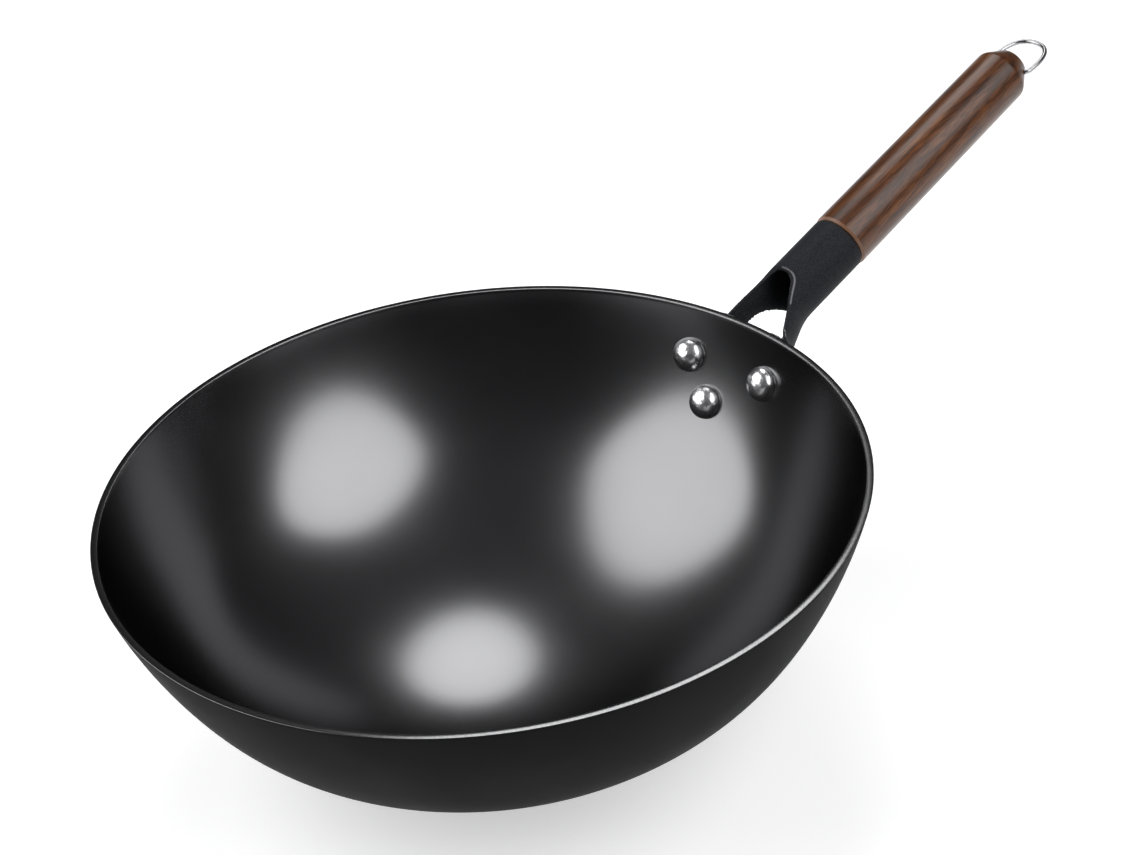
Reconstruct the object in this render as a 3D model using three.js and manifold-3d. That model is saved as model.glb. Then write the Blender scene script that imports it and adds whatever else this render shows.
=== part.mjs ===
// A round-bottomed wok: an iron bowl with a small flat ground on its underside to stand on, a riveted
// sheet-steel socket and a turned wooden grip with a hanging ring. Millimetres, +Z up. The origin is the
// centre of that flat spot, and the handle points along +X.
import * as THREE from "three";
import { mergeVertices } from "three/addons/utils/BufferGeometryUtils.js";
import Module from "manifold-3d";

const wasm = await Module();
wasm.setup();

const degrees = Math.PI / 180;

// Bowl, in section: the wall, the knee below it and the round bottom are arcs that run into each other. The
// round bottom's arc is centred on the bowl's axis.
const rimRadius = 160; // to the rim's outer edge
const rimSlope = 74 * degrees; // of the wall at the rim, from level
const wallArcRadius = 190;
const kneeSlope = 54 * degrees; // where the wall turns into the knee
const kneeRadius = 58;
const bottomSlope = 41 * degrees; // where the knee turns into the round bottom
const spotRadius = 20; // of the flat spot
const bowlSheet = 2.8;

// Handle: the socket's axis rises from a point on the wall just below the rim.
const handleRise = 18 * degrees;
const axisDrop = 5.5; // along the wall, from the rim to the axis

// Socket: a tube that spreads towards the wall, cut open on top into a trough with an arch in its floor.
// Lengths run along the axis from the wall.
const socketRadius = 13.35;
const socketSheet = 2;
const socketLength = 63; // to the grip
const flareStart = 28.5; // to where the tube starts to spread
const flareBend = 30; // radius of the bend there
const flareSlope = 20 * degrees; // of the spreading legs from the axis
const footStart = 7; // to where the legs start to turn into the flange
const footBend = 10; // radius of the bend there
const footSlope = 55 * degrees; // of the legs from the axis where they meet the flange
const troughLength = 31; // to where the tube closes on top
const troughCorner = 5; // length of the round corner there
const troughEdgeHeight = 0.2; // of the trough's edges above the axis, at the wall
const troughEdgeSlope = 18.5 * degrees;
const troughTurn = 10 * degrees; // of the opening about the axis, to the left
const legCornerLength = 8; // of the round corner on top of the right leg, from the wall
const legCornerDrop = 12; // of that corner, down to the wall
const archLength = 27.8; // to the crown of the arch
const archReach = 23.4; // from the crown to where the arch's sides run straight
const archHalfWidth = 15;

// Flange on the wall: round corners about the rivets and two ears under the legs
const flangeCornerRadius = 9;
const earSideways = 15.5; // from the handle's middle to an ear's round corner
const earBelowRim = 0.3; // along the wall, from the rim to the top of the ears
const notchHalfWidth = 11; // of the gap between the ears
const notchDrop = 27; // along the wall, from the rim to the bottom of that gap

// Rivets: to the left along the wall from the handle's middle, and down along the wall from the rim
const leftRivetOffset = 28;
const leftRivetDrop = 22.8;
const rightRivetOffset = -16.1;
const rightRivetDrop = 22.3;
const lowerRivetOffset = 13.3;
const lowerRivetDrop = 41.3;
const rivetHeadRadius = 7.7;
const rivetHeadHeight = 6;
const rivetShankRadius = 3;
const rivetTailRadius = 4.6;
const rivetTailHeight = 2;
const rivetToolRadius = 5.8; // room kept round a closed end for the riveting tool

// Grip
const gripLength = 129.3; // from the socket to the end face
const gripStartRadius = 13.75;
const gripEndRadius = 13.2;
const shoulderBevel = 0.8;
const endBevelLength = 9.5;
const endFaceRadius = 7.1;
const tenonLength = 22;

// Screw under the socket
const screwInset = 11; // from the grip end of the socket
const screwHeadRadius = 3.2;
const screwHeadHeight = 2;
const screwShankRadius = 1.6;
const screwLength = 11;

// Hanging ring of round wire
const wireRadius = 1.1;
const ringInset = 3.3; // from the grip's end face to the cross hole
const ringReach = 20.4; // from the cross hole to the middle of the wire at the tip
const ringBulge = 11.8; // sideways handle of the loop's curve
const ringBend = 2.4; // size of the two corners beside the grip
const ringDroop = 6 * degrees; // below the grip's line
const wireEndGap = 0.8; // between the two ends inside the cross hole

// Clearances
const flangeGap = 0.3; // flange to wall
const headGap = 0.5; // flat underside of a rivet's head to the hollow wall
const tailGap = 0.3; // rivet's closed end to the flange
const holeGap = 0.3; // shank, wire or tenon to its hole, all round
const gripGap = 0.3; // grip's shoulder to the end of the socket
const ringSideGap = 0.6; // ring's side to the grip's bevel

// Facets
const bowlSegments = 96;
const wallSteps = 5;
const kneeSteps = 2;
const bottomSteps = 7;
const tubeSegments = 40;
const flareSteps = 4;
const footSteps = 4;
const turnedSegments = 40;
const rivetSegments = 24;
const holeSegments = 16;
const domeSteps = 5;
const wireSides = 8;
const wireSteps = 60;
const curveSegments = 8;

const sideways = new THREE.Vector3(0, 1, 0);

// Sizes that follow from the ones above
const kneeTop = rimRadius - wallArcRadius * (Math.sin(rimSlope) - Math.sin(kneeSlope));
const bottomTop = kneeTop - kneeRadius * (Math.sin(kneeSlope) - Math.sin(bottomSlope));
const bottomArcRadius = bottomTop / Math.sin(bottomSlope);
const spotDepth = bottomArcRadius - Math.sqrt(bottomArcRadius ** 2 - spotRadius ** 2);
const bowlArcs = [
  { radius: bottomArcRadius, from: 0, to: bottomSlope, steps: bottomSteps },
  { radius: kneeRadius, from: bottomSlope, to: kneeSlope, steps: kneeSteps },
  { radius: wallArcRadius, from: kneeSlope, to: rimSlope, steps: wallSteps },
];
const arcRise = ({ radius, from, to }) => radius * (Math.cos(from) - Math.cos(to));
const bowlDepth = bowlArcs.reduce((depth, arc) => depth + arcRise(arc), -spotDepth);
const rivetPlaces = [
  { name: "left_rivet", offset: leftRivetOffset, drop: leftRivetDrop },
  { name: "right_rivet", offset: rightRivetOffset, drop: rightRivetDrop },
  { name: "lower_rivet", offset: lowerRivetOffset, drop: lowerRivetDrop },
];
const cutterReach = 2 * socketLength; // takes a cutting shape well clear of what it cuts

// A closed geometry as a solid that can be cut and joined.
function solidOf(geometry) {
  const bare = geometry.clone();
  bare.deleteAttribute("normal");
  bare.deleteAttribute("uv");
  const merged = mergeVertices(bare, 1e-4);
  return new wasm.Manifold(
    new wasm.Mesh({
      numProp: 3,
      vertProperties: new Float32Array(merged.attributes.position.array),
      triVerts: new Uint32Array(merged.index.array),
    }),
  );
}

function geometryOf(solid) {
  const { vertProperties, triVerts } = solid.getMesh();
  const geometry = new THREE.BufferGeometry();
  geometry.setAttribute("position", new THREE.BufferAttribute(vertProperties, 3));
  geometry.setIndex(new THREE.BufferAttribute(triVerts, 1));
  geometry.computeVertexNormals();
  return geometry;
}

function piece(name, geometry, color, roughness, metalness) {
  const material = new THREE.MeshStandardMaterial({ color, roughness, metalness });
  const mesh = new THREE.Mesh(geometry, material);
  mesh.name = name;
  return mesh;
}

// A profile of [radius, height] points, turned about +Z. It runs upwards along the outside.
function turned(profile, segments) {
  const points = profile.map(([radius, height]) => new THREE.Vector2(radius, height));
  return new THREE.LatheGeometry(points, segments).rotateX(90 * degrees);
}

function cylinderAlongZ(radius, bottom, top, segments) {
  const profile = [
    [0, bottom],
    [radius, bottom],
    [radius, top],
    [0, top],
  ];
  return turned(profile, segments);
}

// The wall's outer face at a distance along it from the rim: radius, height and slope there.
function wallAt(drop) {
  const slope = rimSlope - drop / wallArcRadius;
  return {
    radius: rimRadius - wallArcRadius * (Math.sin(rimSlope) - Math.sin(slope)),
    height: bowlDepth - wallArcRadius * (Math.cos(slope) - Math.cos(rimSlope)),
    slope,
  };
}

// The same place as a point in the handle's plane, with the directions out of the wall and up along it.
function wallFrame(drop) {
  const { radius, height, slope } = wallAt(drop);
  return {
    point: new THREE.Vector3(radius, 0, height),
    out: new THREE.Vector3(Math.sin(slope), 0, -Math.cos(slope)),
    up: new THREE.Vector3(Math.cos(slope), 0, Math.sin(slope)),
  };
}

// [radius, height] points along the round bowl, moved outwards by a distance, from the axis up to the rim.
function bowlLine(distance) {
  const points = [[0, -spotDepth - distance]];
  let radius = 0;
  let height = -spotDepth;
  for (const arc of bowlArcs) {
    const centreRadius = radius - arc.radius * Math.sin(arc.from);
    const centreHeight = height + arc.radius * Math.cos(arc.from);
    for (let step = 1; step <= arc.steps; step++) {
      const slope = arc.from + ((arc.to - arc.from) * step) / arc.steps;
      const reach = arc.radius + distance;
      points.push([centreRadius + reach * Math.sin(slope), centreHeight - reach * Math.cos(slope)]);
    }
    radius = centreRadius + arc.radius * Math.sin(arc.to);
    height = centreHeight - arc.radius * Math.cos(arc.to);
  }
  return points;
}

// The part of that line that runs along the wall, from the knee up to the rim.
function wallLine(distance) {
  return bowlLine(distance).slice(-wallSteps - 1);
}

// Everything inside the bowl's outer face moved outwards by a distance and run on above the rim.
function bowlFilled(distance) {
  const outside = bowlLine(distance);
  const [radius, height] = outside[outside.length - 1];
  const top = [radius + socketLength * Math.cos(rimSlope), height + socketLength * Math.sin(rimSlope)];
  return solidOf(turned([...outside, top, [0, top[1]]], bowlSegments));
}

// Stands a piece on the wall at a place, with its +Z out of the wall.
function wallMatrix({ offset, drop }) {
  const { point, out, up } = wallFrame(drop);
  const turn = new THREE.Matrix4().makeRotationZ(offset / point.x);
  const frame = new THREE.Matrix4().makeBasis(sideways, up, out).setPosition(point);
  return turn.multiply(frame);
}

function rivetHoles() {
  const reach = bowlSheet + socketSheet + rivetHeadHeight;
  const hole = cylinderAlongZ(rivetShankRadius + holeGap, -reach, reach, holeSegments);
  const holes = rivetPlaces.map((place) => solidOf(hole.clone().applyMatrix4(wallMatrix(place))));
  return holes.reduce((all, one) => all.add(one));
}

function makeBowl() {
  const inside = bowlLine(-bowlSheet).reverse();
  const round = solidOf(turned([...bowlLine(0), ...inside], bowlSegments));
  const shell = round.trimByPlane([0, 0, 1], 0).subtract(rivetHoles());
  return piece("wok_bowl", geometryOf(shell), 0x1d1d1f, 0.4, 0.6);
}

// A rivet stands along its own +Z, which points out of the wall, with zero on the wall's outer face.
function makeRivet(place) {
  const headBase = -bowlSheet - headGap;
  const tailBase = flangeGap + socketSheet + tailGap;
  const profile = [];
  for (let step = 0; step <= domeSteps; step++) {
    const angle = (step / domeSteps) * 90 * degrees;
    profile.push([rivetHeadRadius * Math.sin(angle), headBase - rivetHeadHeight * Math.cos(angle)]);
  }
  profile.push([rivetShankRadius, headBase], [rivetShankRadius, tailBase]);
  for (let step = 0; step <= domeSteps; step++) {
    const angle = (step / domeSteps) * 90 * degrees;
    profile.push([rivetTailRadius * Math.cos(angle), tailBase + rivetTailHeight * Math.sin(angle)]);
  }
  const rivet = piece(place.name, turned(profile, rivetSegments), 0xc9cacc, 0.2, 1);
  wallMatrix(place).decompose(rivet.position, rivet.quaternion, rivet.scale);
  return rivet;
}

// The handle's own frame: +X along the axis from the wall, +Z up from it.
const handle = new THREE.Group();
handle.position.copy(wallFrame(axisDrop).point);
handle.rotation.y = -handleRise;
handle.updateMatrix();

function alongHandle(geometry) {
  return geometry.applyMatrix4(handle.matrix);
}

// One skin of the socket at a depth below its outer face, turned about the axis. It runs from the end of the
// tube through the two bends and on through the wall.
function socketSkin(depth, endLength) {
  const flareEnd = flareStart - flareBend * Math.sin(flareSlope);
  const flareEndRadius = socketRadius + flareBend * (1 - Math.cos(flareSlope));
  const footRadius = flareEndRadius + (flareEnd - footStart) * Math.tan(flareSlope);
  const profile = [
    [0, endLength],
    [socketRadius - depth, endLength],
  ];
  for (let step = 0; step <= flareSteps; step++) {
    const lean = (flareSlope * step) / flareSteps;
    const reach = flareBend + depth;
    profile.push([socketRadius + flareBend - reach * Math.cos(lean), flareStart - reach * Math.sin(lean)]);
  }
  const centreRadius = footRadius + footBend * Math.cos(flareSlope);
  const centre = footStart + footBend * Math.sin(flareSlope);
  for (let step = 0; step <= footSteps; step++) {
    const lean = flareSlope + ((footSlope - flareSlope) * step) / footSteps;
    const reach = footBend + depth;
    profile.push([centreRadius - reach * Math.cos(lean), centre - reach * Math.sin(lean)]);
  }
  const [lastRadius, last] = profile[profile.length - 1];
  profile.push([lastRadius + footBend * Math.tan(footSlope), last - footBend]);
  profile.push([0, last - footBend]);
  return solidOf(alongHandle(turned(profile.reverse(), tubeSegments).rotateY(90 * degrees)));
}

function makeTube() {
  return socketSkin(0, socketLength).subtract(socketSkin(socketSheet, socketLength + socketSheet));
}

// Height of the trough's edges above the axis.
function troughEdge(along) {
  return troughEdgeHeight + along * Math.tan(troughEdgeSlope);
}

// An outline seen from the right of the handle, extruded across it from a distance to the left and turned
// with the trough.
function acrossHandle(outline, left) {
  const depth = left + cutterReach;
  const cutter = new THREE.ExtrudeGeometry(outline, { depth, bevelEnabled: false, curveSegments });
  cutter.translate(0, 0, -left).rotateX(90 * degrees - troughTurn);
  return solidOf(alongHandle(cutter));
}

// Cuts the socket open on top. Seen from the side, the cut drops through the top of the tube, turns in a
// round corner and falls to the wall.
function troughCutter() {
  const corner = troughLength - troughCorner;
  const outline = new THREE.Shape();
  outline.moveTo(troughLength, cutterReach);
  outline.lineTo(-cutterReach, cutterReach);
  outline.lineTo(-cutterReach, troughEdge(-cutterReach));
  outline.lineTo(corner, troughEdge(corner));
  outline.quadraticCurveTo(troughLength, troughEdge(troughLength), troughLength, socketRadius);
  return acrossHandle(outline, cutterReach);
}

// Rounds the right leg's top corner at the wall.
function legCornerCutter() {
  const bottom = troughEdgeHeight - legCornerDrop;
  const outline = new THREE.Shape();
  outline.moveTo(legCornerLength, cutterReach);
  outline.lineTo(-cutterReach, cutterReach);
  outline.lineTo(-cutterReach, bottom);
  outline.lineTo(0, bottom);
  outline.quadraticCurveTo(0, troughEdgeHeight, legCornerLength, troughEdge(legCornerLength));
  return acrossHandle(outline, 0);
}

// Cuts the arch into the trough's floor, from the crown towards the wall.
function archCutter() {
  const middle = archLength - archReach;
  const outline = new THREE.Shape();
  outline.moveTo(-cutterReach, -archHalfWidth);
  outline.lineTo(middle, -archHalfWidth);
  outline.absellipse(middle, 0, archReach, archHalfWidth, -90 * degrees, 90 * degrees, false, 0);
  outline.lineTo(-cutterReach, archHalfWidth);
  const depth = cutterReach;
  const cutter = new THREE.ExtrudeGeometry(outline, { depth, bevelEnabled: false, curveSegments });
  return solidOf(alongHandle(cutter.translate(0, 0, -depth)));
}

// Flat outline in the wall's tangent plane at a drop, extruded through the flange.
function throughFlange(outline, drop) {
  const { point, out, up } = wallFrame(drop);
  const depth = cutterReach;
  const prism = new THREE.ExtrudeGeometry(outline, { depth, bevelEnabled: false, curveSegments });
  prism.translate(0, 0, -depth / 2);
  return solidOf(prism.applyMatrix4(new THREE.Matrix4().makeBasis(sideways, up, out).setPosition(point)));
}

// Sheet on the wall: the offset outline of the corners' polygon, with a gap between the ears.
function makeFlange() {
  const drop = leftRivetDrop;
  const { point, up } = wallFrame(drop);
  const earDrop = earBelowRim + flangeCornerRadius;
  const ears = [earSideways, -earSideways].map((offset) => ({ offset, drop: earDrop }));
  const corners = [...rivetPlaces, ...ears].map((place) => {
    const centre = new THREE.Vector3().setFromMatrixPosition(wallMatrix(place));
    return new THREE.Vector2(centre.y, centre.sub(point).dot(up));
  });
  const sum = corners.reduce((total, corner) => total.add(corner), new THREE.Vector2());
  const middle = sum.divideScalar(corners.length);
  corners.sort((a, b) => a.clone().sub(middle).angle() - b.clone().sub(middle).angle());
  const outline = new THREE.Shape();
  corners.forEach((corner, number) => {
    const before = corners[(number + corners.length - 1) % corners.length];
    const after = corners[(number + 1) % corners.length];
    const arrive = corner.clone().sub(before).angle() - 90 * degrees;
    const leave = after.clone().sub(corner).angle() - 90 * degrees;
    outline.absarc(corner.x, corner.y, flangeCornerRadius, arrive, leave, false);
  });
  const gap = new THREE.Shape();
  gap.moveTo(notchHalfWidth, notchDrop);
  gap.lineTo(-notchHalfWidth, notchDrop);
  gap.absarc(0, drop - notchDrop + notchHalfWidth, notchHalfWidth, 180 * degrees, 360 * degrees, false);
  const inside = wallLine(flangeGap);
  const outside = wallLine(flangeGap + socketSheet).reverse();
  const sheet = solidOf(turned([...inside, ...outside, inside[0]].reverse(), bowlSegments));
  return sheet.intersect(throughFlange(outline, drop)).subtract(throughFlange(gap, drop));
}

function screwHole(radius, depth) {
  const hole = cylinderAlongZ(radius, -cutterReach, -socketRadius + depth, holeSegments);
  return hole.translate(socketLength - screwInset, 0, 0);
}

// Room over each rivet's closed end, cut out of the spreading legs.
function rivetToolRoom() {
  const bottom = flangeGap + socketSheet;
  const room = cylinderAlongZ(rivetToolRadius, bottom, bottom + socketLength, holeSegments);
  const rooms = rivetPlaces.map((place) => solidOf(room.clone().applyMatrix4(wallMatrix(place))));
  return rooms.reduce((all, one) => all.add(one));
}

function makeBracket() {
  const trough = makeTube().subtract(troughCutter()).subtract(legCornerCutter());
  const legs = trough.subtract(archCutter()).subtract(rivetToolRoom());
  const joined = legs.add(makeFlange()).subtract(bowlFilled(flangeGap)).subtract(rivetHoles());
  const hole = solidOf(alongHandle(screwHole(screwShankRadius + holeGap, socketRadius)));
  return piece("handle_bracket", geometryOf(joined.subtract(hole)), 0x26272a, 0.6, 0.4);
}

// The grip is turned about the handle's axis. Its bevel narrows to the end face.
function makeGrip() {
  const shoulder = socketLength + gripGap;
  const end = shoulder + gripLength;
  const tenonRadius = socketRadius - socketSheet - holeGap;
  const profile = [
    [0, shoulder - tenonLength],
    [tenonRadius - shoulderBevel, shoulder - tenonLength],
    [tenonRadius, shoulder - tenonLength + shoulderBevel],
    [tenonRadius, shoulder],
    [gripStartRadius - shoulderBevel, shoulder],
    [gripStartRadius, shoulder + shoulderBevel],
    [gripEndRadius, end - endBevelLength],
    [endFaceRadius, end],
    [0, end],
  ];
  const body = solidOf(turned(profile, turnedSegments).rotateY(90 * degrees));
  const crossHole = cylinderAlongZ(wireRadius + holeGap, -cutterReach, cutterReach, holeSegments);
  crossHole.rotateX(90 * degrees).translate(end - ringInset, 0, 0);
  const pilot = screwHole(screwShankRadius + holeGap, screwLength + socketSheet);
  const cut = body.subtract(solidOf(crossHole)).subtract(solidOf(pilot));
  return piece("wooden_grip", geometryOf(cut), 0x5b3420, 0.45, 0);
}

// The screw stands along its own +Z, into the grip, with zero under its head.
function makeScrew() {
  const profile = [[0, -screwHeadHeight]];
  for (let step = 1; step <= domeSteps; step++) {
    const angle = (step / domeSteps) * 90 * degrees;
    profile.push([screwHeadRadius * Math.sin(angle), -screwHeadHeight * Math.cos(angle)]);
  }
  profile.push([screwShankRadius, 0]);
  profile.push([screwShankRadius, screwLength - screwShankRadius]);
  profile.push([0, screwLength]);
  const screw = piece("grip_screw", turned(profile, rivetSegments), 0x8f9092, 0.35, 1);
  screw.position.set(socketLength - screwInset, 0, -socketRadius - tailGap);
  return screw;
}

// A line or a curve with two, three or four control points.
function curveOf(points) {
  const kinds = { 2: THREE.LineCurve3, 3: THREE.QuadraticBezierCurve3, 4: THREE.CubicBezierCurve3 };
  return new kinds[points.length](...points);
}

// Half of the ring's wire runs from its end in the cross hole, round the corner beside the grip and along
// the loop to the tip. The other half mirrors it and runs back. Control points are [along, across].
function ringPath() {
  const slope = (gripEndRadius - endFaceRadius) / endBevelLength;
  const gripAtHole = endFaceRadius + slope * ringInset;
  const halfWidth = gripAtHole + ringSideGap + wireRadius;
  const inHole = [0, halfWidth - ringBend];
  const besideGrip = [ringBend, halfWidth];
  const tip = [ringReach, 0];
  const half = [
    [[0, wireEndGap / 2], inHole],
    [inHole, [0, halfWidth], besideGrip],
    [besideGrip, [ringReach / 2, ringBulge], [ringReach, ringReach / 2], tip],
  ];
  const placed = (points, side) => points.map(([along, across]) => new THREE.Vector3(along, side * across, 0));
  const right = half.map((points) => placed(points, -1));
  const left = half.map((points) => placed(points, 1).reverse()).reverse();
  const path = new THREE.CurvePath();
  [...right, ...left].forEach((points) => path.add(curveOf(points)));
  return path;
}

function makeRing() {
  const section = new THREE.Shape();
  for (let side = 0; side < wireSides; side++) {
    const angle = ((side + 0.5) / wireSides) * 360 * degrees;
    const point = [wireRadius * Math.cos(angle), wireRadius * Math.sin(angle)];
    if (side === 0) section.moveTo(...point);
    else section.lineTo(...point);
  }
  const wire = new THREE.ExtrudeGeometry(section, { steps: wireSteps, extrudePath: ringPath() });
  const ring = piece("hanging_ring", wire, 0xc4c5c8, 0.25, 1);
  ring.position.set(socketLength + gripGap + gripLength - ringInset, 0, 0);
  ring.rotation.y = ringDroop;
  return ring;
}

handle.add(makeGrip(), makeScrew(), makeRing());

const wok = new THREE.Group();
wok.add(makeBowl(), makeBracket(), ...rivetPlaces.map(makeRivet), handle);

export default wok;
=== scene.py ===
import bpy
from math import cos, pi, radians, sin, sqrt
from mathutils import Matrix, Vector
from mathutils.kdtree import KDTree


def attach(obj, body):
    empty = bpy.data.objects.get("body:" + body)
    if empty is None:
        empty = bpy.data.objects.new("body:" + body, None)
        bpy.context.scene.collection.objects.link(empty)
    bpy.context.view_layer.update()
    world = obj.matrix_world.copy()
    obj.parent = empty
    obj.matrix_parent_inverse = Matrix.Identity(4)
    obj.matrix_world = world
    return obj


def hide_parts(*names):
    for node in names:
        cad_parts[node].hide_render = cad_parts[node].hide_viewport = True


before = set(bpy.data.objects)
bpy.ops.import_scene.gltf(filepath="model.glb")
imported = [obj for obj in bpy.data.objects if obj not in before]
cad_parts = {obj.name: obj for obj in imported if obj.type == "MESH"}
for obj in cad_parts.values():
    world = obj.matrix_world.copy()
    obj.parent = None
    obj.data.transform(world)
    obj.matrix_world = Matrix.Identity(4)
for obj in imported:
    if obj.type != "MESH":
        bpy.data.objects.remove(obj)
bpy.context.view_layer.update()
print("stage: frame loaded,", len(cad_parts), "nodes")

mm = 0.001
scene = bpy.context.scene


# small helpers for working by hand


def deselectAll():
    if bpy.context.object and bpy.context.object.mode != "OBJECT":
        bpy.ops.object.mode_set(mode="OBJECT")
    bpy.ops.object.select_all(action="DESELECT")


def pick(piece):
    deselectAll()
    piece.select_set(True)
    bpy.context.view_layer.objects.active = piece


def editMode(mode="VERT"):
    bpy.ops.object.mode_set(mode="EDIT")
    bpy.ops.mesh.select_mode(type=mode)
    bpy.ops.mesh.select_all(action="DESELECT")


def selectWhere(piece, kind, test):
    # choose verts, edges or faces by their place, then come back to edit mode
    bpy.ops.object.mode_set(mode="OBJECT")
    mesh = piece.data
    for group in (mesh.vertices, mesh.edges, mesh.polygons):
        for item in group:
            item.select = False
    for item in getattr(mesh, kind):
        item.select = test(item)
    bpy.ops.object.mode_set(mode="EDIT")


def cleanMesh():
    bpy.ops.mesh.select_all(action="SELECT")
    bpy.ops.mesh.remove_doubles(threshold=0.002 * mm)
    bpy.ops.mesh.normals_make_consistent(inside=False)
    bpy.ops.object.mode_set(mode="OBJECT")


def applyModifiers(piece):
    pick(piece)
    for name in [modifier.name for modifier in piece.modifiers]:
        bpy.ops.object.modifier_apply(modifier=name)


def turnSection(name, section, steps):
    # one point is drawn out along a section of (radius, height) and spun about +Z
    deselectAll()
    bpy.ops.mesh.primitive_plane_add(size=mm, location=(0, 0, 0))
    piece = bpy.context.object
    piece.name = name
    editMode("VERT")
    bpy.ops.mesh.select_all(action="SELECT")
    bpy.ops.mesh.merge(type="CENTER")
    points = [Vector((radius, 0, height)) * mm for radius, height in section]
    bpy.ops.transform.translate(value=points[0])
    for before, after in zip(points, points[1:]):
        bpy.ops.mesh.extrude_vertices_move(TRANSFORM_OT_translate={"value": after - before})
    bpy.ops.mesh.select_all(action="SELECT")
    bpy.ops.mesh.spin(steps=steps, angle=2 * pi, center=(0, 0, 0), axis=(0, 0, 1), use_auto_merge=False)
    cleanMesh()
    return piece


def place(piece, matrix):
    pick(piece)
    piece.matrix_world = matrix
    bpy.ops.object.transform_apply(location=True, rotation=True, scale=True)


def cutBy(piece, cutters):
    for cutter in cutters:
        cut = piece.modifiers.new("cut", "BOOLEAN")
        cut.operation = "DIFFERENCE"
        cut.solver = "EXACT"
        cut.object = cutter
    applyModifiers(piece)
    for cutter in cutters:
        bpy.data.objects.remove(cutter)


def smooth(piece, angle=35):
    pick(piece)
    bpy.ops.object.shade_smooth_by_angle(angle=radians(angle))


def dress(piece, material, slot, body, *nodes):
    piece.data.materials.clear()
    for one in material if isinstance(material, list) else [material]:
        piece.data.materials.append(one)
    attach(piece, body)
    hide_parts(*nodes)


# node helpers


def newMaterial(name):
    material = bpy.data.materials.new(name)
    material.use_nodes = True
    nodes = material.node_tree.nodes
    return material, nodes, material.node_tree.links, nodes["Principled BSDF"]


def addNode(nodes, kind, **values):
    node = nodes.new(kind)
    for key, value in values.items():
        setattr(node, key, value)
    return node


def ramp(nodes, stops):
    node = nodes.new("ShaderNodeValToRGB")
    elements = node.color_ramp.elements
    while len(elements) < len(stops):
        elements.new(0.5)
    for element, (position, colour) in zip(elements, stops):
        element.position = position
        element.color = (*colour, 1) if isinstance(colour, tuple) else (colour, colour, colour, 1)
    return node


def mixColour(nodes, links, factor, first, second, blend="MIX"):
    node = nodes.new("ShaderNodeMix")
    node.data_type = "RGBA"
    node.blend_type = blend
    for value, socket in ((factor, node.inputs[0]), (first, node.inputs[6]), (second, node.inputs[7])):
        if isinstance(value, bpy.types.NodeSocket):
            links.new(value, socket)
        elif isinstance(value, tuple):
            socket.default_value = (*value, 1)
        else:
            socket.default_value = value
    return node.outputs[2]


# fine speckle that several finishes share: a grain mask, and a broad cloud beside it

speckleLook = {"grainDetail": 3, "cloudScale": 22, "cloudDetail": 4}


def makeSpeckle():
    group = bpy.data.node_groups.new("fineSpeckle", "ShaderNodeTree")
    group.interface.new_socket("Coordinate", in_out="INPUT", socket_type="NodeSocketVector")
    for name in ("Grain Scale", "Low", "High"):
        group.interface.new_socket(name, in_out="INPUT", socket_type="NodeSocketFloat")
    for name in ("Mask", "Cloud"):
        group.interface.new_socket(name, in_out="OUTPUT", socket_type="NodeSocketFloat")
    nodes, links = group.nodes, group.links
    entry = nodes.new("NodeGroupInput")
    leave = nodes.new("NodeGroupOutput")
    noise = addNode(nodes, "ShaderNodeTexNoise")
    noise.inputs["Detail"].default_value = speckleLook["grainDetail"]
    links.new(entry.outputs["Coordinate"], noise.inputs["Vector"])
    links.new(entry.outputs["Grain Scale"], noise.inputs["Scale"])
    span = addNode(nodes, "ShaderNodeMapRange", interpolation_type="SMOOTHSTEP")
    links.new(noise.outputs["Fac"], span.inputs["Value"])
    links.new(entry.outputs["Low"], span.inputs["From Min"])
    links.new(entry.outputs["High"], span.inputs["From Max"])
    links.new(span.outputs["Result"], leave.inputs["Mask"])
    cloud = addNode(nodes, "ShaderNodeTexNoise")
    cloud.inputs["Scale"].default_value = speckleLook["cloudScale"]
    cloud.inputs["Detail"].default_value = speckleLook["cloudDetail"]
    links.new(entry.outputs["Coordinate"], cloud.inputs["Vector"])
    links.new(cloud.outputs["Fac"], leave.inputs["Cloud"])
    return group


speckleGroup = makeSpeckle()


def speckle(nodes, links, coordinate, scale, low=0.35, high=0.65):
    node = nodes.new("ShaderNodeGroup")
    node.node_tree = speckleGroup
    links.new(coordinate, node.inputs["Coordinate"])
    node.inputs["Grain Scale"].default_value = scale
    node.inputs["Low"].default_value = low
    node.inputs["High"].default_value = high
    return node


def bump(nodes, links, height, strength, distance, shader):
    node = nodes.new("ShaderNodeBump")
    node.inputs["Strength"].default_value = strength
    node.inputs["Distance"].default_value = distance
    links.new(height, node.inputs["Height"])
    links.new(node.outputs["Normal"], shader.inputs["Normal"])


def objectCoordinate(nodes):
    return nodes.new("ShaderNodeTexCoord").outputs["Object"]


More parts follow.
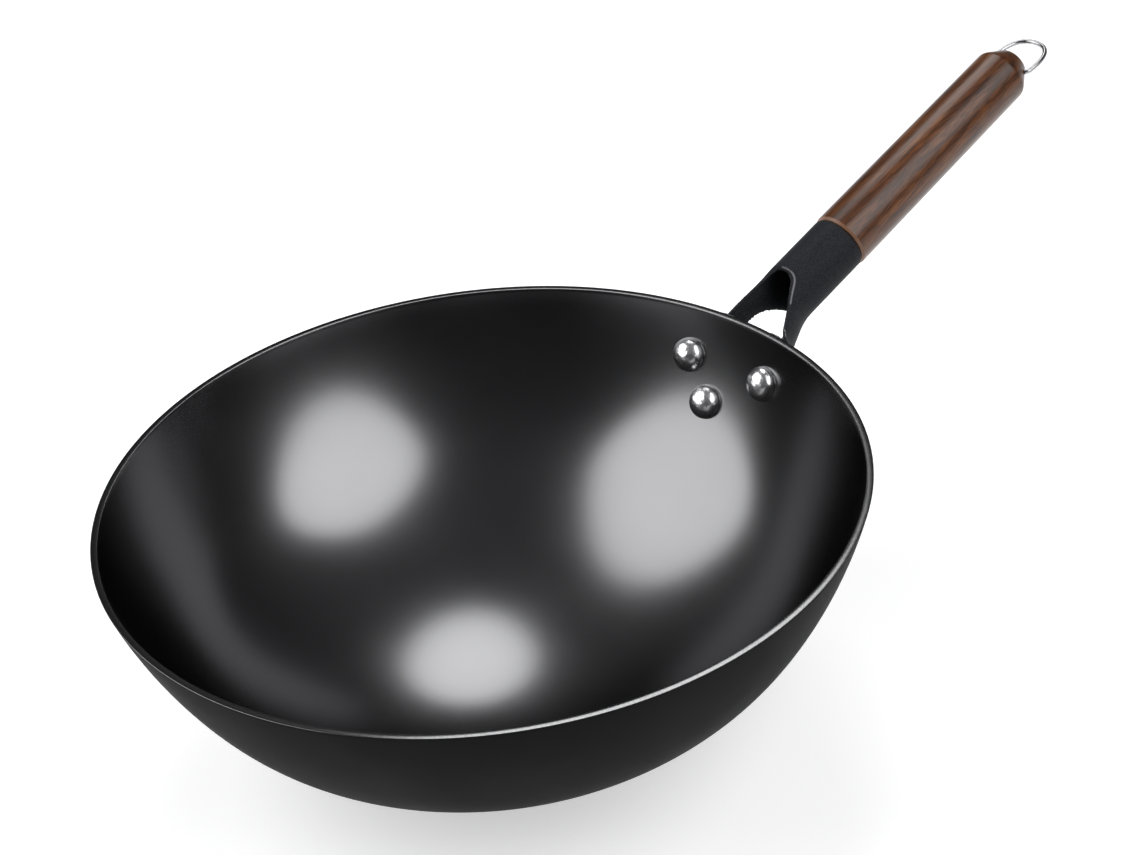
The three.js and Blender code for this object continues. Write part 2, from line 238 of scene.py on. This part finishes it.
def blackIron(name, finish):
    # seasoned iron: dark metal whose colour and gloss drift a little over the surface
    material, nodes, links, shader = newMaterial(name)
    grain = speckle(nodes, links, objectCoordinate(nodes), finish["grainScale"])
    tint = mixColour(nodes, links, grain.outputs["Cloud"], finish["dark"], finish["light"])
    links.new(tint, shader.inputs["Base Color"])
    gloss = addNode(nodes, "ShaderNodeMapRange")
    gloss.inputs["From Min"].default_value = 0.3
    gloss.inputs["From Max"].default_value = 0.7
    gloss.inputs["To Min"].default_value = finish["smooth"]
    gloss.inputs["To Max"].default_value = finish["rough"]
    links.new(grain.outputs["Cloud"], gloss.inputs["Value"])
    links.new(gloss.outputs["Result"], shader.inputs["Roughness"])
    shader.inputs["Metallic"].default_value = finish["metal"]
    shader.inputs["Specular IOR Level"].default_value = finish["specular"]
    shader.inputs["Specular Tint"].default_value = (*[finish["edgeTint"]] * 3, 1)
    bump(nodes, links, grain.outputs["Mask"], finish["bump"], finish["depth"] * mm, shader)
    return material


def bareSteel(name, finish):
    # ground or polished steel with a faint grain
    material, nodes, links, shader = newMaterial(name)
    grain = speckle(nodes, links, objectCoordinate(nodes), finish["grainScale"], 0.3, 0.7)
    tint = mixColour(nodes, links, grain.outputs["Mask"], finish["dark"], finish["light"])
    links.new(tint, shader.inputs["Base Color"])
    gloss = addNode(nodes, "ShaderNodeMapRange")
    gloss.inputs["To Min"].default_value = finish["smooth"]
    gloss.inputs["To Max"].default_value = finish["rough"]
    links.new(grain.outputs["Cloud"], gloss.inputs["Value"])
    links.new(gloss.outputs["Result"], shader.inputs["Roughness"])
    shader.inputs["Metallic"].default_value = 1
    bump(nodes, links, grain.outputs["Mask"], finish["bump"], finish["depth"] * mm, shader)
    return material


# bowl: round inside, a flat spot ground on the underside, spun with its full thickness

bowl = {
    "rimRadius": 160, "rimSlope": radians(74), "wallArcRadius": 190, "kneeSlope": radians(54), "kneeRadius": 58,
    "bottomSlope": radians(41), "spotRadius": 20, "sheet": 2.8, "steps": 288,
    "evening": 72, "lineStep": 0.5, "keepEvery": 5, "bottomSteps": 30,
    "rimBevel": 0.2, "rimBand": 0.5, "rimFacing": 0.35, "holeRadius": 3.3, "holeReach": 12, "holeSteps": 32,
    "inside": {"dark": (0.15, 0.15, 0.154), "light": (0.172, 0.172, 0.176), "smooth": 0.2, "rough": 0.22,
               "metal": 1, "specular": 0.5, "edgeTint": 0.3, "bump": 0.05, "depth": 0.02, "grainScale": 700},
    "outside": {"dark": (0.006, 0.006, 0.0062), "light": (0.009, 0.009, 0.0092), "smooth": 0.5, "rough": 0.6,
                "metal": 0, "specular": 0.03, "edgeTint": 1, "bump": 0.12, "depth": 0.02, "grainScale": 700},
    "rim": {"dark": (0.135, 0.135, 0.137), "light": (0.185, 0.185, 0.187), "smooth": 0.13, "rough": 0.18,
            "bump": 0.06, "depth": 0.01, "grainScale": 1500},
}

kneeTop = bowl["rimRadius"] - bowl["wallArcRadius"] * (sin(bowl["rimSlope"]) - sin(bowl["kneeSlope"]))
bottomTop = kneeTop - bowl["kneeRadius"] * (sin(bowl["kneeSlope"]) - sin(bowl["bottomSlope"]))
bottomArcRadius = bottomTop / sin(bowl["bottomSlope"])
spotDepth = bottomArcRadius - sqrt(bottomArcRadius ** 2 - bowl["spotRadius"] ** 2)
bowlArcs = [
    (bottomArcRadius, 0, bowl["bottomSlope"]),
    (bowl["kneeRadius"], bowl["bottomSlope"], bowl["kneeSlope"]),
    (bowl["wallArcRadius"], bowl["kneeSlope"], bowl["rimSlope"]),
]
bowlDepth = sum(radius * (cos(start) - cos(end)) for radius, start, end in bowlArcs) - spotDepth


def evenShare(distance):
    # from 0 to 1 over the evening length, with no kink at either end
    share = min(max(distance / bowl["evening"] + 0.5, 0), 1)
    return share - sin(2 * pi * share) / (2 * pi)


def bowlLine():
    # (radius, height, slope) along the outside from the middle to the rim, the bends of its three arcs evened out
    wallBend, kneeBend, bottomBend = 1 / bowl["wallArcRadius"], 1 / bowl["kneeRadius"], 1 / bottomArcRadius
    wallEnd = bowl["wallArcRadius"] * (bowl["rimSlope"] - bowl["kneeSlope"])
    kneeEnd = wallEnd + bowl["kneeRadius"] * (bowl["kneeSlope"] - bowl["bottomSlope"])
    radius, height, slope = bowl["rimRadius"], bowlDepth, bowl["rimSlope"]
    step = bowl["lineStep"]
    line = [(radius, height, slope)]
    for count in range(1, round((kneeEnd + bowl["evening"] / 2) / step) + 1):
        along = (count - 0.5) * step
        bend = wallBend + (kneeBend - wallBend) * evenShare(along - wallEnd)
        bend += (bottomBend - kneeBend) * evenShare(along - kneeEnd)
        slope -= bend * step / 2
        radius, height = radius - step * cos(slope), height - step * sin(slope)
        slope -= bend * step / 2
        if count % bowl["keepEvery"] == 0:
            line.append((radius, height, slope))
    closing = radius / sin(slope)
    for count in range(1, bowl["bottomSteps"] + 1):
        turn = slope * (1 - count / bowl["bottomSteps"])
        line.append((closing * sin(turn), height + closing * (cos(slope) - cos(turn)), turn))
    return line[::-1]


def wallMatrix(offset, drop):
    # a place on the wall's outer face, +Z out of the wall and +Y up along it
    slope = bowl["rimSlope"] - drop / bowl["wallArcRadius"]
    radius = bowl["rimRadius"] - bowl["wallArcRadius"] * (sin(bowl["rimSlope"]) - sin(slope))
    height = bowlDepth - bowl["wallArcRadius"] * (cos(slope) - cos(bowl["rimSlope"]))
    out = Vector((sin(slope), 0, -cos(slope)))
    up = Vector((cos(slope), 0, sin(slope)))
    axes = Matrix((Vector((0, 1, 0)), up, out)).transposed().to_4x4()
    turn = Matrix.Rotation(offset / radius, 4, "Z")
    return turn @ Matrix.Translation(Vector((radius, 0, height)) * mm) @ axes


rivets = {
    "places": {"left_rivet": (28, 22.8), "right_rivet": (-16.1, 22.3), "lower_rivet": (13.3, 41.3)},
    "headRadius": 7.7, "headHeight": 6, "headGap": 0.5, "headSeat": 0.22, "shank": 3, "tailRadius": 4.6,
    "tailHeight": 2, "tailBase": 2.6, "lipInset": 0.12, "steps": 64, "domeSteps": 14,
    "steel": {"dark": (0.76, 0.76, 0.77), "light": (0.84, 0.84, 0.85), "smooth": 0.24, "rough": 0.3, "bump": 1,
              "depth": 0.16, "grainScale": 230},
}


def rimEdge(edge, mesh, radius, height):
    near = 0.02 * mm
    ends = [mesh.vertices[index].co for index in edge.vertices]
    return all(abs(end.xy.length - radius * mm) < near and abs(end.z - height * mm) < near for end in ends)


def makeBowl():
    sheet = bowl["sheet"]
    line = bowlLine()
    outside = [(radius, height) for radius, height, slope in line if height > 0]
    inside = [(radius - sheet * sin(slope), height + sheet * cos(slope)) for radius, height, slope in line]
    # the rim is trimmed level with its outer edge
    (lowRadius, lowHeight), (highRadius, highHeight) = inside[-2:]
    share = (bowlDepth - lowHeight) / (highHeight - lowHeight)
    inside[-1] = (lowRadius + share * (highRadius - lowRadius), bowlDepth)
    section = [(0, 0), (bowl["spotRadius"], 0)] + outside + inside[::-1]
    piece = turnSection("bowl", section, bowl["steps"])
    pick(piece)
    editMode("EDGE")
    corners = (outside[-1], inside[-1])
    selectWhere(piece, "edges", lambda edge: any(rimEdge(edge, piece.data, *corner) for corner in corners))
    bpy.ops.mesh.bevel(offset=bowl["rimBevel"] * mm, segments=3, profile=0.5)
    cleanMesh()
    holes = []
    radius, reach = bowl["holeRadius"], bowl["holeReach"]
    for offset, drop in rivets["places"].values():
        hole = turnSection("hole", [(0, -reach), (radius, -reach), (radius, reach), (0, reach)], bowl["holeSteps"])
        place(hole, wallMatrix(offset, drop))
        holes.append(hole)
    cutBy(piece, holes)
    smooth(piece, 40)
    return piece


def paintBowl(piece):
    # three finishes, chosen face by face: inside, outside and the bare rim
    dress(piece, [blackIron("seasonedInside", bowl["inside"]), blackIron("dullOutside", bowl["outside"]),
                  bareSteel("bareRim", bowl["rim"])], "bowl_steel", "wok", "wok_bowl")
    for face in piece.data.polygons:
        if face.center.z > (bowlDepth - bowl["rimBand"]) * mm and face.normal.z > bowl["rimFacing"]:
            face.material_index = 2
        elif face.normal.z < 0:
            face.material_index = 1


bowlPiece = makeBowl()
paintBowl(bowlPiece)
print("stage: bowl,", len(bowlPiece.data.polygons), "faces")


# rivets: dome inside, shank through the wall, closed end outside


def makeRivet(name, offset, drop):
    base = -bowl["sheet"] - rivets["headGap"]
    seat = base + rivets["headSeat"]
    turns = [step / rivets["domeSteps"] * pi / 2 for step in range(rivets["domeSteps"] + 1)]
    dome = [(rivets["headRadius"] * sin(turn), base - rivets["headHeight"] * cos(turn)) for turn in turns]
    lip = [(rivets["headRadius"] - rivets["lipInset"], seat), (rivets["shank"], seat)]
    tailStart = rivets["tailBase"]
    tail = [(rivets["shank"], tailStart)]
    tail += [(rivets["tailRadius"] * cos(turn), tailStart + rivets["tailHeight"] * sin(turn)) for turn in turns]
    piece = turnSection(name.replace("_r", "R"), dome + lip + tail, rivets["steps"])
    place(piece, wallMatrix(offset, drop))
    smooth(piece, 50)
    return piece


rivetSteel = bareSteel("polishedRivet", rivets["steel"])
for name, (offset, drop) in rivets["places"].items():
    dress(makeRivet(name, offset, drop), rivetSteel, "rivet_steel", "wok", name)
print("stage: rivets")


# handle: pieces are made along +X of the handle's own frame

handle = {"rise": radians(18), "axisDrop": 5.5}
handleStart = wallMatrix(0, handle["axisDrop"]).to_translation()
handleMatrix = Matrix.Translation(handleStart) @ Matrix.Rotation(-handle["rise"], 4, "Y")
alongX = Matrix.Rotation(pi / 2, 4, "Y")

# bracket: the imported sheet with its edges softened, painted black, with light grey on its cut edges and ear tops:
# partly bare steel, partly a painted highlight

bracket = {
    "voxel": 0.45, "smoothing": 6, "sharp": radians(40), "edgeWidth": 0.6, "edgeFade": 0.35, "edgeStep": 0.25,
    "troughFrom": 17, "troughTo": 36, "troughLow": -3, "troughSide": 2, "edgeFacing": 0.6,
    "earTop": 1.1, "earReach": 4, "earFacing": 0.7, "softening": 0.5,
    "paint": (0.014, 0.015, 0.0175), "paintLight": (0.027, 0.0285, 0.033), "bare": (0.2, 0.195, 0.21),
    "roughness": (0.5, 0.6), "specular": 0.06, "grainScale": 1400, "rubScale": 500, "bump": 0.3, "depth": 0.06,
}


def copyNode(name, node):
    deselectAll()
    piece = bpy.data.objects.new(name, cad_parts[node].data.copy())
    scene.collection.objects.link(piece)
    pick(piece)
    editMode()
    cleanMesh()
    return piece


def wornAndLitEdgePoints(piece):
    # points along the outer edges of the trough, where the paint is rubbed off and a light line is painted as the
    # edge's highlight
    pick(piece)
    editMode("EDGE")
    bpy.ops.mesh.edges_select_sharp(sharpness=bracket["sharp"])
    bpy.ops.object.mode_set(mode="OBJECT")
    mesh = piece.data
    toHandle = handleMatrix.inverted()
    facing = {}
    for face in mesh.polygons:
        for key in face.edge_keys:
            facing.setdefault(key, []).append(toHandle.to_3x3() @ face.normal)
    points = []
    for edge in mesh.edges:
        if not edge.select:
            continue
        a, b = (mesh.vertices[index].co for index in edge.vertices)
        middle = toHandle @ ((a + b) / 2) / mm
        out = Vector((0, middle.y, middle.z)).normalized()
        onTrough = bracket["troughFrom"] < middle.x < bracket["troughTo"] and middle.z > bracket["troughLow"]
        onTrough = onTrough and middle.y < bracket["troughSide"]
        if onTrough and max(normal.dot(out) for normal in facing[edge.key]) > bracket["edgeFacing"]:
            count = max(1, round((b - a).length / (bracket["edgeStep"] * mm)))
            points += [a.lerp(b, step / count) for step in range(count + 1)]
    return points


def markWearAndHighlight(piece, points):
    # 1 on a rubbed edge and on the upward-facing tops of the two ears, where light grey stands for bare steel and a
    # painted highlight, 0 on whole paint
    tree = KDTree(len(points))
    for index, point in enumerate(points):
        tree.insert(point, index)
    tree.balance()
    wornAndLit = piece.data.attributes.new("wornAndLit", "FLOAT", "POINT")
    width, fade = bracket["edgeWidth"] * mm, bracket["edgeFade"] * mm
    earHeight = (bowlDepth - bracket["earTop"]) * mm
    earRadius = (bowl["rimRadius"] + bracket["earReach"]) * mm
    for vertex, value in zip(piece.data.vertices, wornAndLit.data):
        gap = tree.find(vertex.co)[2]
        share = min(max((width - gap) / fade, 0), 1)
        isEar = vertex.co.z > earHeight and vertex.co.xy.length < earRadius
        value.value = max(share, 1 if isEar and vertex.normal.z > bracket["earFacing"] else 0)


def makeBracket():
    piece = copyNode("socketBracket", "handle_bracket")
    points = wornAndLitEdgePoints(piece)
    remesh = piece.modifiers.new("even", "REMESH")
    remesh.mode = "VOXEL"
    remesh.voxel_size = bracket["voxel"] * mm
    remesh.use_smooth_shade = True
    soften = piece.modifiers.new("soften", "SMOOTH")
    soften.factor = bracket["softening"]
    soften.iterations = bracket["smoothing"]
    applyModifiers(piece)
    markWearAndHighlight(piece, points)
    return piece


def bracketPaint():
    material, nodes, links, shader = newMaterial("blackBracket")
    grain = speckle(nodes, links, objectCoordinate(nodes), bracket["grainScale"])
    paint = mixColour(nodes, links, grain.outputs["Mask"], bracket["paint"], bracket["paintLight"])
    # the light grey on the marked edges is partly bare steel and partly a painted highlight
    wornAndLit = addNode(nodes, "ShaderNodeAttribute", attribute_name="wornAndLit").outputs["Fac"]
    rubAndHighlight = addNode(nodes, "ShaderNodeMath", operation="MULTIPLY")
    links.new(wornAndLit, rubAndHighlight.inputs[0])
    patches = speckle(nodes, links, objectCoordinate(nodes), bracket["rubScale"], 0.25, 0.5)
    links.new(patches.outputs["Mask"], rubAndHighlight.inputs[1])
    links.new(mixColour(nodes, links, rubAndHighlight.outputs[0], paint, bracket["bare"]), shader.inputs["Base Color"])
    gloss = addNode(nodes, "ShaderNodeMapRange")
    gloss.inputs["To Min"].default_value = bracket["roughness"][0]
    gloss.inputs["To Max"].default_value = bracket["roughness"][1]
    links.new(grain.outputs["Mask"], gloss.inputs["Value"])
    links.new(gloss.outputs["Result"], shader.inputs["Roughness"])
    shader.inputs["Specular IOR Level"].default_value = bracket["specular"]
    bump(nodes, links, grain.outputs["Mask"], bracket["bump"], bracket["depth"] * mm, shader)
    return material


bracketPiece = makeBracket()
dress(bracketPiece, bracketPaint(), "bracket_steel", "wok", "handle_bracket")
print("stage: bracket,", len(bracketPiece.data.polygons), "faces")


# grip: turned wood with a tenon in the socket, a cross hole for the ring and a pilot hole for the screw

grip = {
    "shoulder": 63.7, "length": 128.9, "startRadius": 13.75, "endRadius": 13.2, "shoulderBevel": 1, "straight": 6,
    "bevelLength": 9.5, "endBevel": 1.1, "faceRadius": 7.1, "tenonLength": 22, "tenonRadius": 11.05, "steps": 96,
    "holeInset": 3.3, "holeRadius": 1.4, "holeSteps": 32, "cutReach": 30,
    "pilotAlong": 52, "pilotRadius": 1.9, "pilotTop": 0.3, "pilotSteps": 24,
    "dark": (0.042, 0.013, 0.004), "mid": (0.1, 0.032, 0.009), "light": (0.18, 0.064, 0.017),
    # edge: a painted highlight colour on the shoulder's chamfer
    "edge": (0.24, 0.12, 0.07), "highlightFrom": 0.9, "highlightTo": 1.3,
    "grainSlant": (0, 0.04, 0.07), "grainStretch": (0.07, 1, 1),
    "broadScale": 380, "fineScale": 1500, "poreShare": 0.8,
    "roughness": (0.5, 0.4), "specular": 0.05, "coat": 0.8, "coatRoughness": 0.3, "coatIor": 1.5,
    "bump": 0.12, "depth": 0.05,
}


def makeGrip():
    start, end = grip["shoulder"], grip["shoulder"] + grip["length"]
    tenon, bevel = grip["tenonRadius"], grip["shoulderBevel"]
    section = [
        (0, start - grip["tenonLength"]), (tenon - bevel, start - grip["tenonLength"]),
        (tenon, start - grip["tenonLength"] + bevel), (tenon, start), (grip["startRadius"] - bevel, start),
        (grip["startRadius"], start + bevel), (grip["startRadius"], start + grip["straight"]),
        (grip["endRadius"], end - grip["bevelLength"]), (grip["faceRadius"], end), (0, end),
    ]
    piece = turnSection("woodenGrip", section, grip["steps"])
    pick(piece)
    editMode("EDGE")

    def softEdge(edge):
        a, b = (piece.data.vertices[index].co for index in edge.vertices)
        level = abs(a.z - b.z) < 0.001 * mm and abs(a.xy.length - b.xy.length) < 0.001 * mm
        return level and a.z > (end - grip["bevelLength"] - 0.1) * mm

    selectWhere(piece, "edges", softEdge)
    bpy.ops.mesh.bevel(offset=grip["endBevel"] * mm, segments=4, profile=0.5)
    cleanMesh()
    place(piece, handleMatrix @ alongX)
    reach, radius = grip["cutReach"], grip["holeRadius"]
    cross = turnSection("crossHole", [(0, -reach), (radius, -reach), (radius, reach), (0, reach)], grip["holeSteps"])
    atHole = Matrix.Translation(((end - grip["holeInset"]) * mm, 0, 0))
    place(cross, handleMatrix @ atHole @ Matrix.Rotation(pi / 2, 4, "X"))
    radius, top = grip["pilotRadius"], grip["pilotTop"]
    pilot = turnSection("pilot", [(0, -reach), (radius, -reach), (radius, top), (0, top)], grip["pilotSteps"])
    place(pilot, handleMatrix @ Matrix.Translation((grip["pilotAlong"] * mm, 0, 0)))
    cutBy(piece, [cross, pilot])
    smooth(piece, 30)
    return piece


def varnishedWood():
    material, nodes, links, shader = newMaterial("varnishedWood")
    mapping = nodes.new("ShaderNodeMapping")
    mapping.vector_type = "TEXTURE"
    mapping.inputs["Location"].default_value = handleStart
    mapping.inputs["Rotation"].default_value = (0, -handle["rise"], 0)
    links.new(objectCoordinate(nodes), mapping.inputs["Vector"])
    stretch = nodes.new("ShaderNodeMapping")
    stretch.inputs["Scale"].default_value = grip["grainStretch"]
    slant = nodes.new("ShaderNodeMapping")
    slant.inputs["Rotation"].default_value = grip["grainSlant"]
    links.new(mapping.outputs["Vector"], slant.inputs["Vector"])
    links.new(slant.outputs["Vector"], stretch.inputs["Vector"])
    broad = addNode(nodes, "ShaderNodeTexNoise")
    broad.inputs["Scale"].default_value = grip["broadScale"]
    broad.inputs["Detail"].default_value = 5
    broad.inputs["Distortion"].default_value = 0.6
    links.new(stretch.outputs["Vector"], broad.inputs["Vector"])
    fine = addNode(nodes, "ShaderNodeTexNoise")
    fine.inputs["Scale"].default_value = grip["fineScale"]
    fine.inputs["Detail"].default_value = 3
    links.new(stretch.outputs["Vector"], fine.inputs["Vector"])
    bands = ramp(nodes, [(0.3, grip["dark"]), (0.5, grip["mid"]), (0.72, grip["light"])])
    links.new(broad.outputs["Fac"], bands.inputs["Fac"])
    pores = ramp(nodes, [(0.38, 0.35), (0.54, 1.0)])
    links.new(fine.outputs["Fac"], pores.inputs["Fac"])
    wood = mixColour(nodes, links, grip["poreShare"], bands.outputs["Color"], pores.outputs["Color"], "MULTIPLY")
    along = nodes.new("ShaderNodeSeparateXYZ")
    links.new(mapping.outputs["Vector"], along.inputs[0])
    # the shoulder's chamfer, and the hidden tenon with it, is coloured lighter: a painted highlight where the
    # chamfer catches the light
    shoulder = addNode(nodes, "ShaderNodeMapRange", interpolation_type="SMOOTHSTEP")
    shoulder.inputs["From Min"].default_value = (grip["shoulder"] + grip["highlightTo"]) * mm
    shoulder.inputs["From Max"].default_value = (grip["shoulder"] + grip["highlightFrom"]) * mm
    links.new(along.outputs["X"], shoulder.inputs["Value"])
    wood = mixColour(nodes, links, shoulder.outputs["Result"], wood, grip["edge"])
    links.new(wood, shader.inputs["Base Color"])
    gloss = addNode(nodes, "ShaderNodeMapRange")
    gloss.inputs["To Min"].default_value = grip["roughness"][0]
    gloss.inputs["To Max"].default_value = grip["roughness"][1]
    links.new(fine.outputs["Fac"], gloss.inputs["Value"])
    links.new(gloss.outputs["Result"], shader.inputs["Roughness"])
    shader.inputs["Specular IOR Level"].default_value = grip["specular"]
    shader.inputs["Coat Weight"].default_value = grip["coat"]
    shader.inputs["Coat Roughness"].default_value = grip["coatRoughness"]
    shader.inputs["Coat IOR"].default_value = grip["coatIor"]
    bump(nodes, links, fine.outputs["Fac"], grip["bump"], grip["depth"] * mm, shader)
    return material


dress(makeGrip(), varnishedWood(), "grip_wood", "wok", "wooden_grip")
print("stage: grip")


# screw: pan head under the socket with a cross recess

screw = {
    "along": 52, "below": 13.65, "headRadius": 3.2, "headHeight": 2, "shank": 1.6, "length": 11, "steps": 48,
    "domeSteps": 10, "recess": (3.6, 0.8, 1.5),
    "steel": {"dark": (0.42, 0.42, 0.43), "light": (0.55, 0.55, 0.56), "smooth": 0.28, "rough": 0.38, "bump": 0.05,
              "depth": 0.01, "grainScale": 1200},
}


def makeScrew():
    turns = [step / screw["domeSteps"] * pi / 2 for step in range(screw["domeSteps"] + 1)]
    head = [(screw["headRadius"] * sin(turn), -screw["headHeight"] * cos(turn)) for turn in turns]
    shank = [(screw["shank"], 0), (screw["shank"], screw["length"] - screw["shank"]), (0, screw["length"])]
    piece = turnSection("gripScrew", head + shank, screw["steps"])
    cutters = []
    long, wide, deep = screw["recess"]
    for size in ((long, wide), (wide, long)):
        deselectAll()
        bpy.ops.mesh.primitive_cube_add(size=mm, location=(0, 0, -screw["headHeight"] * mm))
        slotCutter = bpy.context.object
        slotCutter.scale = (*size, deep)
        bpy.ops.object.transform_apply(location=True, rotation=True, scale=True)
        cutters.append(slotCutter)
    cutBy(piece, cutters)
    place(piece, handleMatrix @ Matrix.Translation((screw["along"] * mm, 0, -screw["below"] * mm)))
    smooth(piece, 35)
    return piece


dress(makeScrew(), bareSteel("screwSteel", screw["steel"]), "screw_steel", "wok", "grip_screw")
print("stage: screw")


# hanging ring: a bent wire with both ends in the cross hole

ring = {
    "wire": 1.1, "along": 189.3, "reach": 20.4, "bulge": 11.8, "bend": 2.4, "droop": radians(6), "endGap": 0.8,
    "sideGap": 0.6, "curveSteps": 20, "wireSteps": 6,
    "steel": {"dark": (0.34, 0.34, 0.35), "light": (0.44, 0.44, 0.45), "smooth": 0.2, "rough": 0.28, "bump": 0.03,
              "depth": 0.01, "grainScale": 900},
}


def makeRing():
    slope = (grip["endRadius"] - grip["faceRadius"]) / grip["bevelLength"]
    half = grip["faceRadius"] + slope * grip["holeInset"] + ring["sideGap"] + ring["wire"]
    bend, reach = ring["bend"], ring["reach"]
    third = bend / 3
    # place, handle before and handle after, as (along, across)
    right = [
        ((0, ring["endGap"] / 2), (0, ring["endGap"] / 2), (0, half - bend)),
        ((0, half - bend), (0, half - bend), (0, half - third)),
        ((bend, half), (third, half), (reach / 2, ring["bulge"])),
        ((reach, 0), (reach, reach / 2), (reach, -reach / 2)),
    ]

    def mirrored(point):
        return (point[0], -point[1])

    left = [(mirrored(co), mirrored(after), mirrored(before)) for co, before, after in right[-2::-1]]
    knots = right + left
    deselectAll()
    bpy.ops.curve.primitive_bezier_curve_add(location=(0, 0, 0))
    piece = bpy.context.object
    piece.name = "hangingRing"
    spline = piece.data.splines[0]
    spline.bezier_points.add(len(knots) - len(spline.bezier_points))
    for point, (co, before, after) in zip(spline.bezier_points, knots):
        point.handle_left_type = point.handle_right_type = "FREE"
        point.co = Vector((*co, 0)) * mm
        point.handle_left = Vector((*before, 0)) * mm
        point.handle_right = Vector((*after, 0)) * mm
    piece.data.resolution_u = ring["curveSteps"]
    piece.data.bevel_depth = ring["wire"] * mm
    piece.data.bevel_resolution = ring["wireSteps"]
    piece.data.use_fill_caps = True
    bpy.ops.object.convert(target="MESH")
    piece = bpy.context.object
    pick(piece)
    editMode()
    cleanMesh()
    atHole = Matrix.Translation((ring["along"] * mm, 0, 0))
    place(piece, handleMatrix @ atHole @ Matrix.Rotation(ring["droop"], 4, "Y"))
    smooth(piece, 40)
    return piece


dress(makeRing(), bareSteel("ringSteel", ring["steel"]), "ring_steel", "ring", "hanging_ring")
print("stage: ring")


# studio: white floor, dim room, three softboxes above

studio = {
    "floorSize": 60, "floorDrop": 0.0002, "floorColour": (0.8, 0.8, 0.8), "floorRoughness": 0.9, "floorGlow": 0.5,
    # brightness of the room by height: pale at the horizon only
    "room": [(0, (1.0, 1.0, 1.0)), (0.03, (0.03, 0.03, 0.032)),
             (0.5, (0.06, 0.06, 0.063)), (1, (0.11, 0.11, 0.115))],
    # distance, elevation, azimuth, half sizes in metres, turn, radiance
    "softboxes": {
        "leftBox": (1.4, 41.5, -69.7, 0.6, 0.714, -53, 3.4),
        "backBox": (3.43, 52.8, 43.3, 0.67, 1.03, 5.5, 4.0),
        "rightBox": (1.4, 38.3, 135.4, 0.72, 0.79, 64, 3.3),
    },
}


def makeFloor():
    deselectAll()
    bpy.ops.mesh.primitive_plane_add(size=studio["floorSize"], location=(0, 0, -studio["floorDrop"]))
    floor = bpy.context.object
    floor.name = "floor"
    bpy.ops.object.transform_apply(location=True)
    material, nodes, links, shader = newMaterial("paleFloor")
    shader.inputs["Base Color"].default_value = (*studio["floorColour"], 1)
    shader.inputs["Roughness"].default_value = studio["floorRoughness"]
    shader.inputs["Specular IOR Level"].default_value = 0
    path = nodes.new("ShaderNodeLightPath")
    seen = addNode(nodes, "ShaderNodeMath", operation="MAXIMUM")
    links.new(path.outputs["Is Camera Ray"], seen.inputs[0])
    links.new(path.outputs["Is Glossy Ray"], seen.inputs[1])
    through = addNode(nodes, "ShaderNodeMath", operation="MAXIMUM")
    links.new(seen.outputs[0], through.inputs[0])
    links.new(path.outputs["Is Transmission Ray"], through.inputs[1])
    glow = addNode(nodes, "ShaderNodeMath", operation="MULTIPLY")
    links.new(through.outputs[0], glow.inputs[0])
    glow.inputs[1].default_value = studio["floorGlow"]
    shader.inputs["Emission Color"].default_value = (1, 1, 1, 1)
    links.new(glow.outputs[0], shader.inputs["Emission Strength"])
    floor.data.materials.append(material)


def makeRoom():
    world = bpy.data.worlds.new("room")
    scene.world = world
    world.use_nodes = True
    nodes, links = world.node_tree.nodes, world.node_tree.links
    direction = nodes.new("ShaderNodeTexCoord").outputs["Generated"]
    split = nodes.new("ShaderNodeSeparateXYZ")
    links.new(direction, split.inputs[0])
    height = ramp(nodes, studio["room"])
    links.new(split.outputs["Z"], height.inputs["Fac"])
    links.new(height.outputs["Color"], nodes["Background"].inputs["Color"])
    nodes["Background"].inputs["Strength"].default_value = 1


def makeSoftboxes():
    centre = Vector((0, 0, bowlDepth)) * mm
    for name, values in studio["softboxes"].items():
        distance, elevation, azimuth, halfWide, halfHigh, turn, radiance = values
        el, az, roll = radians(elevation), radians(azimuth), radians(turn)
        towards = Vector((cos(el) * cos(az), cos(el) * sin(az), sin(el)))
        level = Vector((0, 0, 1)).cross(towards).normalized()
        rising = towards.cross(level)
        wide = cos(roll) * level + sin(roll) * rising
        high = -sin(roll) * level + cos(roll) * rising
        lamp = bpy.data.lights.new(name, "AREA")
        lamp.shape = "ELLIPSE"
        lamp.size, lamp.size_y = 2 * halfWide, 2 * halfHigh
        lamp.energy = radiance * pi * pi * halfWide * halfHigh
        box = bpy.data.objects.new(name, lamp)
        scene.collection.objects.link(box)
        axes = Matrix((wide, high, towards)).transposed().to_4x4()
        box.matrix_world = Matrix.Translation(centre + towards * distance) @ axes


makeFloor()
makeRoom()
makeSoftboxes()
print("stage: studio")


# camera, fitted to the rim and the handle

view = {
    "place": (-0.55106, -0.73127, 0.73012), "right": (0.72599, -0.68056, -0.09882),
    "down": (-0.43447, -0.34252, -0.83301), "forward": (0.53307, 0.6477, -0.54436),
    "lens": 85.26, "sensor": 36, "clip": (0.01, 200),
}

cameraData = bpy.data.cameras.new("camera")
cameraData.sensor_fit = "HORIZONTAL"
cameraData.sensor_width = view["sensor"]
cameraData.lens = view["lens"]
cameraData.clip_start, cameraData.clip_end = view["clip"]
camera = bpy.data.objects.new("camera", cameraData)
scene.collection.objects.link(camera)
viewAxes = Matrix((Vector(view["right"]), -Vector(view["down"]), -Vector(view["forward"])))
camera.matrix_world = Matrix.Translation(view["place"]) @ viewAxes.transposed().to_4x4()
scene.camera = camera
scene.view_settings.view_transform = "Standard"
print("stage: camera")

bpy.context.view_layer.update()
